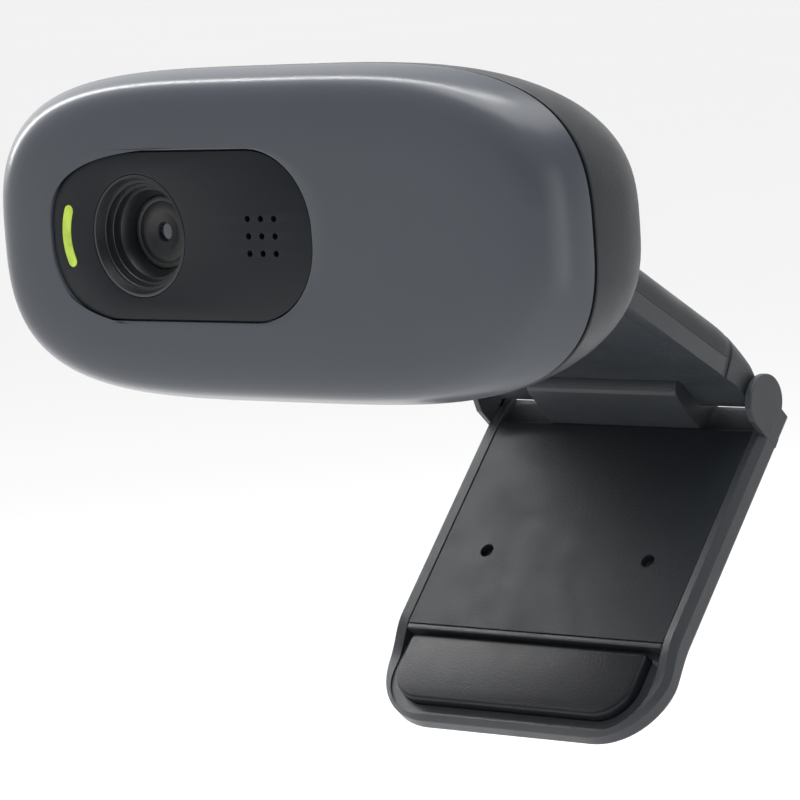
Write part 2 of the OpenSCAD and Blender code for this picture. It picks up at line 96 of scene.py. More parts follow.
BEZEL_W = 33.3
BEZEL_H = 16.4
BEZEL_X = -9.35
FACE_Z = 0.3
LENS_X = -14.6
OPENING_R = 5.9
MIC_X = 1.05
MIC_PITCH = 1.63
MIC_HOLE_R = 0.32
FACE_Y = -FRONT_DEPTH
CAVITY_Y = FACE_Y + WALL
BEZEL_Y = FACE_Y + 0.2
BEZEL_FLOOR_Y = FACE_Y + 1.0
BARREL_Y = -0.8
BOARD_Y = 8.0
LIGHT_STEM_X = BEZEL_X - BEZEL_W / 2 + 1.9

COVER_POST_X = 28.5
BOARD_POST = (22.5, 6.2)
SCREW_SEAT_Y = 5.5
BRACKET_SCREW_X = 12.2
GROMMET_X = -20.0
TILT_Y = 22.5
TILT_Z = -2.1
KNUCKLE_R = 3.0
KNUCKLE_HALF = 9.6

ARM_HALF = 16.9
SEAM_Z = 1.9
TILT_REACH = 16.0
EAR_R = 3.05
SLOT_HALF = 10.2
SLOT_FRONT = -12.4
SLOT_BACK = 15.2
FOLD_REACH = 19.6
FOLD_UP = 0.7
NOSE_AT = (19.5, 1.05)
NOSE_R = 1.85
SHAFT_R = 1.25
ARM_SCREW = (12.0, -8.0)
ARM_SCREW_R = 1.8
PIN_R = 0.8

FOOT_HALF = 17.95
FOOT_LENGTH = 39.4
FOOT_CORNER = 7.5
RIM_Y = 2.3
RIM_EDGE_Y = 3.15
PANEL_Y = 2.55
PANEL_T = 0.8
PANEL_HALF = 16.3
TOE_Y = 3.65
FOOT_BACK_Y = 5.1
TOE_BACK_Y = 5.8
STEP_Z = -29.4
PANEL_LOW_Z = STEP_Z + 0.6
PANEL_TOP_Z = -2.95
PEG = (10.35, -19.35)
PAD_HALF = 15.1
PAD_Z = -30.1
PAD_H = 7.6
PAD_Y = 2.55
PAD_FLOOR_Y = 4.15
CHEEK_AT = (0.8, -0.6)
CHEEK_R = 2.95
CHEEK_X = 17.2
POCKET_R = 2.7
FOOT_TOP = 0.5


# ---- Frames ----

def mount_axis(name):
    """Direction of one of the record's mounts."""
    mounts = frame["record"]["mounts"]
    return Vector(next(m for m in mounts if m["name"] == name)["axis"])


def joint_place(name):
    """Position of one of the record's joints, in metres."""
    return Vector(next(j for j in frame["joints"] if j["name"] == name)["pos_m"])


def tilted(place, angle):
    """Local millimetres to row metres: turned about X, then moved to a place."""
    return Matrix.Translation(place) @ Matrix.Rotation(-angle, 4, "X") @ Matrix.Scale(MM, 4)


face_low, face_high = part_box("front_cover")
seat = mount_axis("screen_seat")
pad_axis = mount_axis("pad_face")
HEAD = tilted(Vector((0, face_low.y + FRONT_DEPTH * MM, (face_low.z + face_high.z) / 2)), 0)
ARM = tilted(Vector((0, 0, 0)), math.atan2(-seat.y, -seat.z))
FOOT = tilted(joint_place("clip_fold"), math.atan2(pad_axis.z, -pad_axis.y))


# ---- Materials ----

def new_material(name):
    material = bpy.data.materials.new(name)
    material.use_nodes = True
    return material, material.node_tree.nodes, material.node_tree.links


def add_noise(nodes, links, scale, detail, low, high):
    """Noise in object space, stretched to run from low to high."""
    place = nodes.new("ShaderNodeTexCoord")
    noise = nodes.new("ShaderNodeTexNoise")
    noise.inputs["Scale"].default_value = scale
    noise.inputs["Detail"].default_value = detail
    spread = nodes.new("ShaderNodeMapRange")
    spread.inputs["From Min"].default_value = 0.3
    spread.inputs["From Max"].default_value = 0.7
    spread.inputs["To Min"].default_value = low
    spread.inputs["To Max"].default_value = high
    links.new(place.outputs["Object"], noise.inputs["Vector"])
    links.new(noise.outputs["Fac"], spread.inputs["Value"])
    return spread.outputs["Result"]


def tint(nodes, links, factor, color, share):
    """The colour, darker and lighter by a share of itself as the factor runs from 0 to 1."""
    mix = nodes.new("ShaderNodeMix")
    mix.data_type = "RGBA"
    mix.inputs["A"].default_value = (*[c * (1 - share) for c in color], 1)
    mix.inputs["B"].default_value = (*[c * (1 + share) for c in color], 1)
    links.new(factor, mix.inputs["Factor"])
    return mix.outputs["Result"]


def surface(name, color, rough, rough_spread, grain, bump, share=0.06, metal=0.0, coat=0.0, level=0.5):
    """A moulded or metal surface: fine grain in its relief, slow change in colour and gloss."""
    material, nodes, links = new_material(name)
    shader = nodes["Principled BSDF"]
    slow = add_noise(nodes, links, 90, 3, 0, 1)
    links.new(tint(nodes, links, slow, color, share), shader.inputs["Base Color"])
    gloss = add_noise(nodes, links, 260, 4, rough - rough_spread, rough + rough_spread)
    links.new(gloss, shader.inputs["Roughness"])
    fine = add_noise(nodes, links, grain, 2, 0, 1)
    relief = nodes.new("ShaderNodeBump")
    relief.inputs["Strength"].default_value = bump
    relief.inputs["Distance"].default_value = 0.00005
    links.new(fine, relief.inputs["Height"])
    links.new(relief.outputs["Normal"], shader.inputs["Normal"])
    shader.inputs["Metallic"].default_value = metal
    shader.inputs["Coat Weight"].default_value = coat
    shader.inputs["Coat Roughness"].default_value = 0.25
    shader.inputs["Specular IOR Level"].default_value = level
    return material


def glass(name, color, alpha):
    """Thin coated glass, its tint changing a little at random."""
    material, nodes, links = new_material(name)
    shader = nodes["Principled BSDF"]
    slow = add_noise(nodes, links, 300, 2, 0, 1)
    links.new(tint(nodes, links, slow, color, 0.08), shader.inputs["Base Color"])
    shader.inputs["Roughness"].default_value = 0.04
    shader.inputs["Coat Weight"].default_value = 1.0
    shader.inputs["Transmission Weight"].default_value = alpha
    return material


def glowing(name, color, strength):
    """Lit translucent plastic, its colour changing a little at random."""
    material, nodes, links = new_material(name)
    shader = nodes["Principled BSDF"]
    slow = add_noise(nodes, links, 700, 2, 0, 1)
    shade = tint(nodes, links, slow, color, 0.15)
    links.new(shade, shader.inputs["Base Color"])
    links.new(shade, shader.inputs["Emission Color"])
    shader.inputs["Emission Strength"].default_value = strength
    shader.inputs["Roughness"].default_value = 0.25
    return material


MATERIALS = {
    "front_plastic": surface("front_plastic", (0.052, 0.058, 0.070), 0.29, 0.01, 5200, 0.04, 0.02, level=0.4),
    "rear_plastic": surface("rear_plastic", (0.015, 0.018, 0.022), 0.46, 0.05, 5200, 0.30, level=0.35),
    "bezel_plastic": surface(
        "bezel_plastic", (0.008, 0.010, 0.013), 0.38, 0.03, 5200, 0.12, 0.05, level=0.22),
    "light_guide": glowing("light_guide", (0.36, 0.50, 0.05), 0.20),
    "lens_black": surface("lens_black", (0.010, 0.011, 0.013), 0.38, 0.04, 4000, 0.10),
    "lens_glass": glass("lens_glass", (0.05, 0.07, 0.12), 0.6),
    "filter_glass": glass("filter_glass", (0.75, 0.35, 0.40), 0.7),
    "chip_black": surface("chip_black", (0.018, 0.018, 0.020), 0.55, 0.06, 6000, 0.3),
    "circuit_board": surface("circuit_board", (0.012, 0.100, 0.045), 0.35, 0.05, 1800, 0.3, 0.2),
    "crystal_can": surface("crystal_can", (0.60, 0.61, 0.63), 0.30, 0.05, 2600, 0.15, metal=1.0),
    "capacitor_tan": surface("capacitor_tan", (0.42, 0.28, 0.16), 0.50, 0.06, 3000, 0.2, 0.12),
    "connector_white": surface("connector_white", (0.80, 0.77, 0.66), 0.45, 0.05, 3000, 0.15),
    "led_package": surface("led_package", (0.85, 0.86, 0.70), 0.25, 0.04, 3000, 0.1),
    "black_rubber": surface("black_rubber", (0.012, 0.012, 0.014), 0.62, 0.06, 3600, 0.4),
    "screw_steel": surface("screw_steel", (0.55, 0.56, 0.58), 0.32, 0.06, 2400, 0.2, metal=1.0),
    "black_screw": surface("black_screw", (0.030, 0.030, 0.033), 0.38, 0.06, 2400, 0.2, metal=1.0),
    "pin_steel": surface("pin_steel", (0.62, 0.63, 0.65), 0.22, 0.05, 2400, 0.1, metal=1.0),
    "clip_plastic": surface("clip_plastic", (0.028, 0.032, 0.037), 0.44, 0.05, 6000, 0.40, 0.05, level=0.4),
    "cap_plastic": surface("cap_plastic", (0.016, 0.019, 0.023), 0.46, 0.05, 5200, 0.30, level=0.35),
    "panel_plastic": surface(
        "panel_plastic", (0.014, 0.017, 0.021), 0.46, 0.05, 5200, 0.25, 0.05, level=0.22),
    "pad_rubber": surface("pad_rubber", (0.006, 0.007, 0.010), 0.42, 0.05, 4200, 0.20, 0.05, level=0.25),
}


def paint_cad_nodes():
    """Every CAD node takes the procedural material of its slot in the record."""
    for part in frame["record"]["subparts"]:
        node = frame["nodes"][part["node"]]
        node.data.materials.clear()
        node.data.materials.append(MATERIALS[part["material_slot"]])


# ---- Mesh helpers ----

def signed_power(value, power):
    return math.copysign(abs(value) ** power, value)


def super_ring(w, h, y, count=RING):
    """Superellipse ring across X and Z at depth y."""
    ring = []
    for i in range(count):
        t = 2 * math.pi * i / count
        x = w / 2 * signed_power(math.cos(t), 2 / WIDE_POWER)
        z = h / 2 * signed_power(math.sin(t), 2 / TALL_POWER)
        ring.append((x, y, z))
    return ring


def rounded_ring(w, h, r, y, x=0.0, z=0.0, count=RING):
    """Ring round a rectangle with round corners, with an equal count of points on each corner."""
    ring = []
    per_corner = count // 4
    for corner in range(4):
        cx = x + (1 if corner in (0, 3) else -1) * (w / 2 - r)
        cz = z + (1 if corner < 2 else -1) * (h / 2 - r)
        for i in range(per_corner):
            t = math.pi / 2 * (corner + i / (per_corner - 1))
            ring.append((cx + r * math.cos(t), y, cz + r * math.sin(t)))
    return ring


def circle_ring(r, y, x=0.0, z=0.0, count=RING):
    """Circle whose points match rounded_ring's, corner by corner."""
    ring = []
    per_corner = count // 4
    for corner in range(4):
        for i in range(per_corner):
            t = math.pi / 2 * (corner + (i + 0.5) / per_corner)
            ring.append((x + r * math.cos(t), y, z + r * math.sin(t)))
    return ring


def object_from(bm, name, place, slot, bevel=0.0, angle=35):
    """Finishes a mesh into an object in row metres, with its edges rounded."""
    return dress(raw_object(bm, name), place, slot, bevel, angle)


def apply_modifiers(piece):
    """Bakes a piece's modifiers into its mesh."""
    graph = bpy.context.evaluated_depsgraph_get()
    graph.update()
    mesh = bpy.data.meshes.new_from_object(piece.evaluated_get(graph))
    piece.modifiers.clear()
    old = piece.data
    piece.data = mesh
    mesh.name = piece.name
    bpy.data.meshes.remove(old)


def soften(piece, width, angle=35, segments=3):
    """Rounds the edges that are sharper than an angle."""
    bevel = piece.modifiers.new("edge", "BEVEL")
    bevel.width = width
    bevel.segments = segments
    bevel.limit_method = "ANGLE"
    bevel.angle_limit = math.radians(angle)
    bevel.use_clamp_overlap = True
    apply_modifiers(piece)


def add_rings(bm, rings, closed=False, caps=True):
    """Skins a stack of rings; closed joins the last ring to the first."""
    made = [[bm.verts.new(p) for p in ring] for ring in rings]
    count = len(made[0])
    pairs = list(zip(made, made[1:]))
    if closed:
        pairs.append((made[-1], made[0]))
    for a, b in pairs:
        for i in range(count):
            j = (i + 1) % count
            bm.faces.new((a[i], a[j], b[j], b[i]))
    if caps and not closed:
        bm.faces.new(made[0][::-1])
        bm.faces.new(made[-1])
    return made


def lathe(bm, profile, x, z, count=96):
    """Turns a closed outline of radius and depth pairs about an axis along Y."""
    rings = []
    for r, y in profile:
        rings.append([
            (x + r * math.cos(2 * math.pi * i / count), y, z + r * math.sin(2 * math.pi * i / count))
            for i in range(count)
        ])
    add_rings(bm, rings, closed=True)


def prism(bm, outline, low, high, axis="Y"):
    """Extrudes a plane outline along an axis."""
    def at(p, d):
        return {"X": (d, p[0], p[1]), "Y": (p[0], d, p[1]), "Z": (p[0], p[1], d)}[axis]
    add_rings(bm, [[at(p, d) for p in outline] for d in (low, high)])


def arc_points(cx, cz, r, a0, a1, steps):
    """Points round an arc, angles in degrees."""
    points = []
    for i in range(steps + 1):
        a = math.radians(a0 + (a1 - a0) * i / steps)
        points.append((cx + r * math.cos(a), cz + r * math.sin(a)))
    return points


def disc(cx, cz, r, steps=48):
    return arc_points(cx, cz, r, 0, 360 - 360 / steps, steps - 1)


def cut(piece, cutters):
    """Cuts closed outlines, each an (outline, low, high, axis), out of a piece still in local millimetres."""
    bm = bmesh.new()
    for outline, low, high, axis in cutters:
        prism(bm, outline, low, high, axis)
    bmesh.ops.recalc_face_normals(bm, faces=bm.faces)
    mesh = bpy.data.meshes.new("cutter")
    bm.to_mesh(mesh)
    bm.free()
    tool = bpy.data.objects.new("cutter", mesh)
    bpy.context.scene.collection.objects.link(tool)
    knife = piece.modifiers.new("cut", "BOOLEAN")
    knife.operation = "DIFFERENCE"
    knife.object = tool
    knife.solver = "EXACT"
    apply_modifiers(piece)
    bpy.data.objects.remove(tool)
    bpy.data.meshes.remove(mesh)


def raw_object(bm, name):
    """A mesh in local millimetres, ready to be cut."""
    bmesh.ops.remove_doubles(bm, verts=bm.verts, dist=MERGE)
    bmesh.ops.recalc_face_normals(bm, faces=bm.faces)
    mesh = bpy.data.meshes.new(name)
    bm.to_mesh(mesh)
    bm.free()
    piece = bpy.data.objects.new(name, mesh)
    bpy.context.scene.collection.objects.link(piece)
    return piece


def dress(piece, place, slot, bevel=0.0, angle=35, sharp=None):
    """Rounds a raw piece's edges, moves it to row metres and gives it its material.

    Edges that turn by more than the sharp angle are shaded sharp.
    """
    if bevel:
        soften(piece, bevel, angle)
    piece.data.transform(place)
    piece.data.shade_smooth()
    piece.data.set_sharp_from_angle(angle=math.radians(sharp or angle))
    piece.data.materials.clear()
    piece.data.materials.append(MATERIALS[slot])
    return piece


def settle(piece, body, slot, *nodes):
    """Hangs a piece on the body it rides on and hides the CAD nodes it stands for; the slot is not used."""
    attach(piece, body)
    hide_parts(*nodes)


# ---- Head ----

def light_arc(gap):
    """Slot of the status light, concentric with the left end of the bezel."""
    r = BEZEL_H / 2 - 1.9
    half = 23
    width = 0.6 - gap
    cx = BEZEL_X - BEZEL_W / 2 + BEZEL_H / 2
    low = arc_points(cx, FACE_Z, r, 180 + half, 180 + half, 1)[0]
    high = arc_points(cx, FACE_Z, r, 180 - half, 180 - half, 1)[0]
    return (
        arc_points(cx, FACE_Z, r + width, 180 - half, 180 + half, 20)
        + arc_points(*low, width, 195 + half, 345 + half, 10)
        + arc_points(cx, FACE_Z, r - width, 180 + half, 180 - half, 20)
        + arc_points(*high, width, 375 - half, 525 - half, 10)
    )


def mic_discs():
    return [
        disc(MIC_X + col * MIC_PITCH, FACE_Z + row * MIC_PITCH, MIC_HOLE_R, 24)
        for col in (-1, 0, 1)
        for row in (-1, 0, 1)
    ]


def bezel_ring(gap, y):
    """Ring round the bezel's outline, pulled in by a gap."""
    r = BEZEL_H / 2 - 0.6 - gap
    return rounded_ring(BEZEL_W - 2 * gap, BEZEL_H - 2 * gap, r, y, BEZEL_X, FACE_Z)


def between(a, b, share, y):
    """Ring part of the way from one ring to another, at depth y."""
    return [(p[0] + (q[0] - p[0]) * share, y, p[2] + (q[2] - p[2]) * share) for p, q in zip(a, b)]


def catmull_rom(p, q, r, s, t):
    """Value a share t of the way from q to r."""
    square = 2 * p - 5 * q + 4 * r - s
    cube = 3 * q - p - 3 * r + s
    return 0.5 * (2 * q + (r - p) * t + square * t ** 2 + cube * t ** 3)


def smooth_curve(points, steps):
    """Catmull-Rom line through the points."""
    line = []
    padded = [points[0]] + list(points) + [points[-1]]
    for a, b, c, d in zip(padded, padded[1:], padded[2:], padded[3:]):
        for i in range(steps):
            t = i / steps
            line.append(tuple(catmull_rom(p, q, r, s, t) for p, q, r, s in zip(a, b, c, d)))
    line.append(tuple(points[-1]))
    return line


def inset_ring(inset_x, inset_z, y):
    """Ring inside the head's outline."""
    return super_ring(HEAD_W - 2 * inset_x, HEAD_H - 2 * inset_z, y)


def make_front_cover():
    rings = [inset_ring(x, z, -depth) for depth, x, z in CAVITY_CURVE]
    lip = 0.12
    rings.append(inset_ring(lip, lip, -COVER_GAP / 2))
    rings.append(inset_ring(0.03, 0.03, -COVER_GAP / 2 - 0.04))
    for depth, x, z in smooth_curve(FACE_CURVE, 4)[1:]:
        rings.append(inset_ring(x, z, -depth))
    face_edge = rings[-1]
    pill = bezel_ring(-0.12, FACE_Y)
    for share in (0.3, 0.6, 0.9):
        rings.append(between(face_edge, pill, share, FACE_Y))
    rings.append(pill)
    rings.append(bezel_ring(-0.03, FACE_Y + 0.04))
    rings.append(bezel_ring(0.0, FACE_Y + 0.14))
    rings.append(bezel_ring(0.0, BEZEL_FLOOR_Y))
    rings.append(circle_ring(OPENING_R + 0.05, BEZEL_FLOOR_Y, LENS_X, FACE_Z))
    rings.append(circle_ring(OPENING_R + 0.05, CAVITY_Y, LENS_X, FACE_Z))
    bm = bmesh.new()
    add_rings(bm, rings, closed=True)
    piece = raw_object(bm, "front_shell")
    cut(piece, [(light_arc(0), CAVITY_Y - 1.2, CAVITY_Y + 1, "Y")]
        + [(hole, FACE_Y, CAVITY_Y + 1, "Y") for hole in mic_discs()])
    root = CAVITY_Y - 0.2
    board_post = [(1.9, root), (1.9, BOARD_Y), (0.8, BOARD_Y), (0.8, 2)]
    cover_post = [(2.4, root), (2.4, 3), (1.0, 3), (1.0, -1.4)]
    posts = bmesh.new()
    for sx in (-1, 1):
        for sz in (-1, 1):
            lathe(posts, board_post, sx * BOARD_POST[0], sz * BOARD_POST[1], 40)
        lathe(posts, cover_post, sx * COVER_POST_X, 0, 40)
    post_piece = raw_object(posts, "front_posts")
    join(piece, post_piece)
    dress(piece, HEAD, "front_plastic", angle=38)
    settle(piece, "head", "front_plastic", "front_cover")


def join(piece, other):
    """Adds another raw object's mesh to a piece."""
    bm = bmesh.new()
    bm.from_mesh(piece.data)
    bm.from_mesh(other.data)
    bm.to_mesh(piece.data)
    bm.free()
    mesh = other.data
    bpy.data.objects.remove(other)
    bpy.data.meshes.remove(mesh)


def dome_ring(inset, y):
    """Ring of the rear dome, pulled in by a wall thickness."""
    r = min(max(y, 0) / (REAR_DEPTH + DOME_SPARE - inset), 1)
    wide = (1 - r ** DOME_WIDE_POWER) ** (1 / DOME_WIDE_POWER)
    tall = (1 - r ** DOME_TALL_POWER) ** (1 / DOME_TALL_POWER)
    return super_ring((HEAD_W - 2 * inset) * wide, (HEAD_H - 2 * inset) * tall, y)


def shrunk(ring, amount, y):
    """The ring moved in by an amount along X and Z, at depth y."""
    w = max(p[0] for p in ring)
    h = max(p[2] for p in ring)
    return [(p[0] * (w - amount) / w, y, p[2] * (h - amount) / h) for p in ring]


def dome_depth(x, z):
    """Depth at which the dome's surface passes over a point, by halving."""
    low, high = 0.0, REAR_DEPTH
    for _ in range(30):
        y = (low + high) / 2
        r = y / (REAR_DEPTH + DOME_SPARE)
        wide = HEAD_W / 2 * (1 - r ** DOME_WIDE_POWER) ** (1 / DOME_WIDE_POWER)
        tall = HEAD_H / 2 * (1 - r ** DOME_TALL_POWER) ** (1 / DOME_TALL_POWER)
        inside = (abs(x) / wide) ** WIDE_POWER + (abs(z) / tall) ** TALL_POWER < 1
        low, high = (y, high) if inside else (low, y)
    return low


def make_rear_cover():
    steps = 30
    rings = [shrunk(super_ring(HEAD_W, HEAD_H, 0), 0.12, COVER_GAP / 2)]
    rings.append(super_ring(HEAD_W - 0.04, HEAD_H - 0.04, COVER_GAP / 2 + 0.12))
    for k in range(1, steps + 1):
        y = COVER_GAP / 2 + (REAR_DEPTH - 0.35 - COVER_GAP / 2) * math.sin(math.pi / 2 * k / steps)
        if y > COVER_GAP / 2 + 0.3:
            rings.append(dome_ring(0, y))
    back = rings[-1]
    rings.append(shrunk(back, 0.25, REAR_DEPTH - 0.2))
    rings.append(shrunk(back, 0.6, REAR_DEPTH - 0.07))
    rings.append(shrunk(back, 1.1, REAR_DEPTH))
    inner = []
    for k in range(14, -1, -1):
        y = 1.8 + (REAR_DEPTH - WALL - 1.8) * math.sin(math.pi / 2 * k / 14)
        inner.append(dome_ring(WALL, y))
    lip_in = (LIP_INSET[0] + LIP_T, LIP_INSET[1] + LIP_T)
    lip = [
        inset_ring(*lip_in, 1.8),
        inset_ring(*lip_in, -1.2),
        inset_ring(*LIP_INSET, -1.2),
        inset_ring(*LIP_INSET, COVER_GAP / 2),
    ]
    pole = disc(0, 0, 0.02, RING)
    rings.append([(x, REAR_DEPTH, z) for x, z in pole])
    rings.append([(x, REAR_DEPTH - WALL, z) for x, z in pole])
    rings += inner + lip
    bm = bmesh.new()
    add_rings(bm, rings, closed=True)
    piece = raw_object(bm, "rear_shell")
    gap = 0.1
    window = [
        (KNUCKLE_HALF + gap, TILT_Z - KNUCKLE_R - gap), (KNUCKLE_HALF + gap, TILT_Z + KNUCKLE_R + gap),
        (-KNUCKLE_HALF - gap, TILT_Z + KNUCKLE_R + gap), (-KNUCKLE_HALF - gap, TILT_Z - KNUCKLE_R - gap),
    ]
    posts = bmesh.new()
    for sx in (-1, 1):
        tube = [(2.9, 3.1), (2.9, 14.2), (1.95, 14.2), (1.95, SCREW_SEAT_Y), (1.1, SCREW_SEAT_Y), (1.1, 3.1)]
        lathe(posts, tube, sx * COVER_POST_X, 0, 48)
    for vert in posts.verts:
        if vert.co.y > 14:
            vert.co.y = min(vert.co.y, dome_depth(vert.co.x, vert.co.z) - WALL / 2)
    cutters = [(window, REAR_DEPTH - 4, REAR_DEPTH + 1, "Y")]
    cutters.append((disc(GROMMET_X, 0, 2.65), REAR_DEPTH - 5, REAR_DEPTH + 1, "Y"))
    for sx in (-1, 1):
        cutters.append((disc(sx * COVER_POST_X, 0, 1.95), 10, REAR_DEPTH + 1, "Y"))
        cutters.append((disc(sx * BRACKET_SCREW_X, 0, 1.7), REAR_DEPTH - 3, REAR_DEPTH + 1, "Y"))
    cut(piece, cutters)
    join(piece, raw_object(posts, "rear_posts"))
    dress(piece, HEAD, "rear_plastic", angle=38)
    settle(piece, "head", "rear_plastic", "rear_cover")


def make_bezel():
    rings = [
        bezel_ring(0.15, BEZEL_FLOOR_Y),
        bezel_ring(0.15, BEZEL_Y + 0.12),
        bezel_ring(0.19, BEZEL_Y + 0.035),
        bezel_ring(0.27, BEZEL_Y),
        circle_ring(OPENING_R + 0.22, BEZEL_Y, LENS_X, FACE_Z),
        circle_ring(OPENING_R + 0.07, BEZEL_Y + 0.04, LENS_X, FACE_Z),
        circle_ring(OPENING_R, BEZEL_Y + 0.16, LENS_X, FACE_Z),
        circle_ring(OPENING_R, BEZEL_FLOOR_Y, LENS_X, FACE_Z),
    ]
    bm = bmesh.new()
    add_rings(bm, rings, closed=True)
    piece = raw_object(bm, "face_bezel")
    cutters = [(light_arc(0), FACE_Y - 1, BEZEL_FLOOR_Y + 1, "Y")]
    cutters += [(hole, FACE_Y - 1, BEZEL_FLOOR_Y + 1, "Y") for hole in mic_discs()]
    cut(piece, cutters)
    dress(piece, HEAD, "bezel_plastic", angle=38)
    settle(piece, "head", "bezel_plastic", "lens_bezel")


def make_light_guide():
    bm = bmesh.new()
    prism(bm, light_arc(0.03), BEZEL_Y - 0.05, CAVITY_Y + 0.6)
    near, far = CAVITY_Y + 0.3, BOARD_Y - 0.9
    lathe(bm, [(0.0001, near), (0.57, near), (0.57, far), (0.0001, far)], LIGHT_STEM_X, FACE_Z, 32)
    piece = object_from(bm, "status_light", HEAD, "light_guide", bevel=0.12, angle=50)
    settle(piece, "head", "light_guide", "led_light_guide")


def make_baffle():
    """Stepped funnel: each tread is a short cone with a rounded nose."""
    inner = [
        (OPENING_R - 0.02, CAVITY_Y), (OPENING_R - 0.02, BEZEL_Y + 0.06),
        (OPENING_R - 0.1, BEZEL_Y + 0.01), (OPENING_R - 0.3, BEZEL_Y),
    ]
    treads = [(5.3, -3.55), (5.05, -3.55), (4.9, -2.9), (4.65, -2.9), (4.5, -2.2), (4.25, -2.2)]
    for k, (r, y) in enumerate(treads):
        inner.append((r, y))
        if k % 2:
            inner.append((r - 0.05, y + 0.06))
    inner.append((3.6, BARREL_Y - 0.2))
    outer = [(3.6, CAVITY_Y + 2.6), (5.2, CAVITY_Y + 2.6), (5.2, CAVITY_Y + 0.8), (6.8, CAVITY_Y + 0.8),
             (6.8, CAVITY_Y)]
    bm = bmesh.new()
    lathe(bm, inner + outer, LENS_X, FACE_Z, 128)
    piece = object_from(bm, "lens_funnel", HEAD, "lens_black", angle=30)
    settle(piece, "head", "lens_black", "lens_baffle")


def make_barrel():
    """Barrel front: rounded rim, shallow spanner ring, and a cone down to the pupil."""
    profile = [
        (0.85, BARREL_Y + 0.35), (0.95, BARREL_Y + 0.22), (1.9, BARREL_Y + 0.06), (2.0, BARREL_Y + 0.02),
        (2.9, BARREL_Y), (3.0, BARREL_Y + 0.05), (3.1, BARREL_Y), (3.45, BARREL_Y), (3.52, BARREL_Y + 0.03),
        (3.55, BARREL_Y + 0.1), (3.55, 1.0), (3.2, 1.0),
    ]
    pitch = 0.35
    turns = int((5.2 - 1.1) / pitch)
    for k in range(turns):
        profile.append((3.2, 1.1 + k * pitch))
        profile.append((3.08, 1.1 + (k + 0.5) * pitch))
    profile += [
        (3.2, 5.3), (3.1, 5.4), (2.3, 5.4), (2.3, 2.6), (1.6, 2.6),
        (1.6, BARREL_Y + 0.6), (0.85, BARREL_Y + 0.6),
    ]
    bm = bmesh.new()
    lathe(bm, profile, LENS_X, FACE_Z, 96)
    piece = object_from(bm, "lens_tube", HEAD, "lens_black", angle=30)
    settle(piece, "head", "lens_black", "lens_barrel")


def make_front_lens():
    """Small meniscus behind the pupil."""
    steps = 10
    front = []
    for k in range(steps + 1):
        r = 1.58 * k / steps
        front.append((max(r, 0.0005), BARREL_Y + 0.61 + 0.09 * (r / 1.58) ** 2))
    back = [(1.58, BARREL_Y + 1.9), (1.3, BARREL_Y + 1.9), (0.9, BARREL_Y + 1.7), (0.0005, BARREL_Y + 1.55)]
    bm = bmesh.new()
    lathe(bm, front + back, LENS_X, FACE_Z, 64)
    piece = object_from(bm, "pupil_lens", HEAD, "lens_glass", angle=40)
    settle(piece, "head", "lens_glass", "front_lens")


def make_tilt_bracket():
    """Hinge knuckle with rounded edges, its flange behind the rear wall."""
    flange = REAR_DEPTH - WALL
    base_y = flange - 1.6
    outline = [(base_y, TILT_Z - KNUCKLE_R)]
    outline += arc_points(TILT_Y, TILT_Z, KNUCKLE_R, -90, 90, 20)
    outline += [(base_y, TILT_Z + KNUCKLE_R)]
    bm = bmesh.new()
    prism(bm, outline, -KNUCKLE_HALF, KNUCKLE_HALF, "X")
    piece = raw_object(bm, "tilt_knuckle")
    cut(piece, [(disc(TILT_Y, TILT_Z, SHAFT_R + 0.03, 40), -20, 20, "X")])
    plate = bmesh.new()
    prism(plate, [(-14.5, -3.5), (14.5, -3.5), (14.5, 3.5), (-14.5, 3.5)], base_y, flange)
    join(piece, raw_object(plate, "flange"))
    dress(piece, HEAD, "clip_plastic", bevel=0.25, angle=40)
    settle(piece, "head", "clip_plastic", "tilt_bracket")


def make_grommet():
    profile = [
        (1.5, REAR_DEPTH - 3.4), (1.5, REAR_DEPTH + 0.25), (1.6, REAR_DEPTH + 0.36), (1.75, REAR_DEPTH + 0.4),
        (2.35, REAR_DEPTH + 0.4), (2.55, REAR_DEPTH + 0.3), (2.6, REAR_DEPTH + 0.1), (2.6, REAR_DEPTH - 0.8),
        (2.0, REAR_DEPTH - 0.8), (2.0, REAR_DEPTH - 2.5), (2.6, REAR_DEPTH - 2.5), (2.6, REAR_DEPTH - 3.4),
    ]
    bm = bmesh.new()
    lathe(bm, profile, GROMMET_X, 0, 64)
    piece = object_from(bm, "lead_grommet", HEAD, "black_rubber", angle=35)
    settle(piece, "head", "black_rubber", "cable_grommet")


# ---- Arm ----

def arm_top(y):
    """Side view of the arm's top."""
    if y < -TILT_REACH:
        return EAR_R + math.sqrt(max(EAR_R ** 2 - (y + TILT_REACH) ** 2, 0))
    points = [
        (-TILT_REACH, 6.1), (0, 6.0), (11, 6.0), (12, 5.98), (13, 5.88), (14, 5.72),
        (15, 5.47), (16, 5.12), (17, 4.68), (18, 4.13), (19, 3.5),
    ]
    for (y0, z0), (y1, z1) in zip(points, points[1:]):
        if y <= y1:
            return z0 + (z1 - z0) * (y - y0) / (y1 - y0)
    if y < NOSE_AT[0] + NOSE_R * math.cos(math.radians(58)):
        return 3.5 - (y - 19) * 0.6
    return NOSE_AT[1] + math.sqrt(max(NOSE_R ** 2 - (y - NOSE_AT[0]) ** 2, 0))


def arm_bottom(y):
    """Side view of the arm's underside."""
    if y < -TILT_REACH:
        return EAR_R - math.sqrt(max(EAR_R ** 2 - (y + TILT_REACH) ** 2, 0))
    if y < 16:
        return 0.0
    if y < 19.08:
        return -(y - 16) * 0.243
    return NOSE_AT[1] - math.sqrt(max(NOSE_R ** 2 - (y - NOSE_AT[0]) ** 2, 0))


